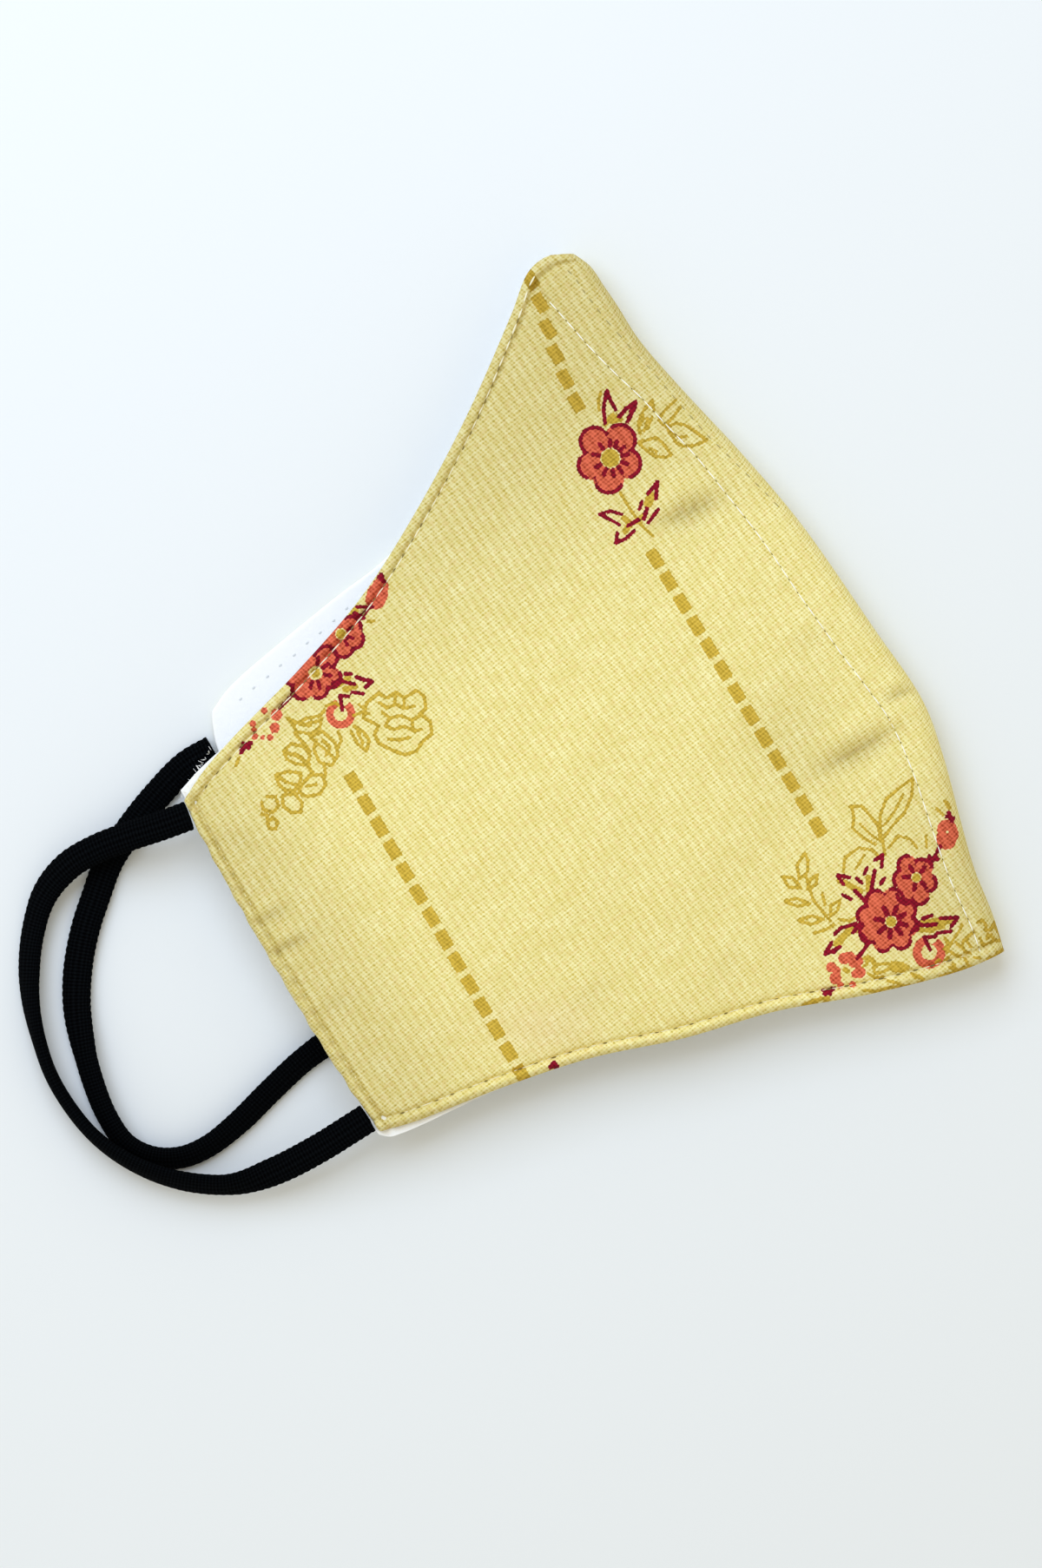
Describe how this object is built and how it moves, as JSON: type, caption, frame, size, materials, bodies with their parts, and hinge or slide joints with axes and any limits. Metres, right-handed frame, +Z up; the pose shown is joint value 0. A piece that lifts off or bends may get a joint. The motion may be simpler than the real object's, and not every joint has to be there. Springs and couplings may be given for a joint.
{
  "type": "cloth face mask",
  "caption": "Contoured cloth face mask folded flat at its centre seam, with a printed outer ply, a white lining and a knitted elastic ear loop on each half.",
  "frame": {"origin": "middle of the folded mask's footprint without its ear loops, on the surface it lies on", "axes": "+X towards the folded centre seam, +Y towards the nose, +Z up out of the surface"},
  "size_m": [0.168, 0.1458, 0.014],
  "materials": {
    "printed_cotton": "fine dobby cotton printed pale yellow with small coral flowers and mustard dashes",
    "white_flannel": "soft napped white cotton",
    "black_elastic": "ribbed knitted elastic"
  },
  "bodies": {
    "root": {"outer_near": "printed_cotton", "outer_far": "printed_cotton", "lining_near": "white_flannel", "lining_far": "white_flannel", "ear_loop_near": "black_elastic", "ear_loop_far": "black_elastic"}
  },
  "joints": []
}
